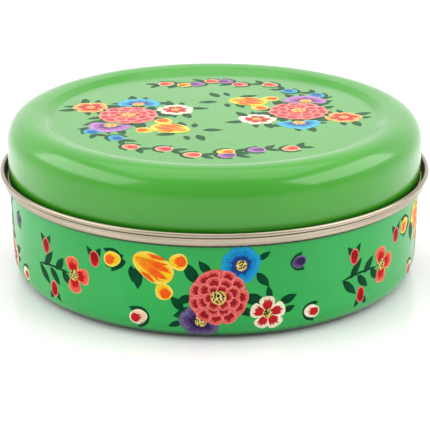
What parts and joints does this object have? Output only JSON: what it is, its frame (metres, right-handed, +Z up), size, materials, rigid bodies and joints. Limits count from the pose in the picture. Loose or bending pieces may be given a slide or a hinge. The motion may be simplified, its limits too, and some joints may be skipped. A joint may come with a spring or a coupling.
{
  "type": "lidded tin",
  "caption": "Wide, low round steel food tin with a bare rolled steel rim, a lift-off lid that drops inside the rim, and green enamel painted with flowers.",
  "frame": {"origin": "centre of the foot ring, on the surface the tin stands on", "axes": "+Z up, along the axis the tin was spun about and the way the lid lifts; the tin is round, so +X and +Y only place the painted flowers, and -Y is the front"},
  "size_m": [0.2098, 0.2098, 0.0792],
  "materials": {
    "steel": "spun stainless steel, satin to bright, warm grey",
    "base_green": "glossy emerald green enamel under clear varnish",
    "lid_green": "glossy leaf green enamel under clear varnish"
  },
  "bodies": {
    "base": {"base_shell": "steel", "base_enamel": "base_green"},
    "lid": {"lid_shell": "steel", "lid_enamel": "lid_green"}
  },
  "joints": [
    {"name": "lid_lift", "type": "slide", "parent": "base", "child": "lid", "axis": [0, 0, 1], "range_m": [0, 0.12]}
  ]
}
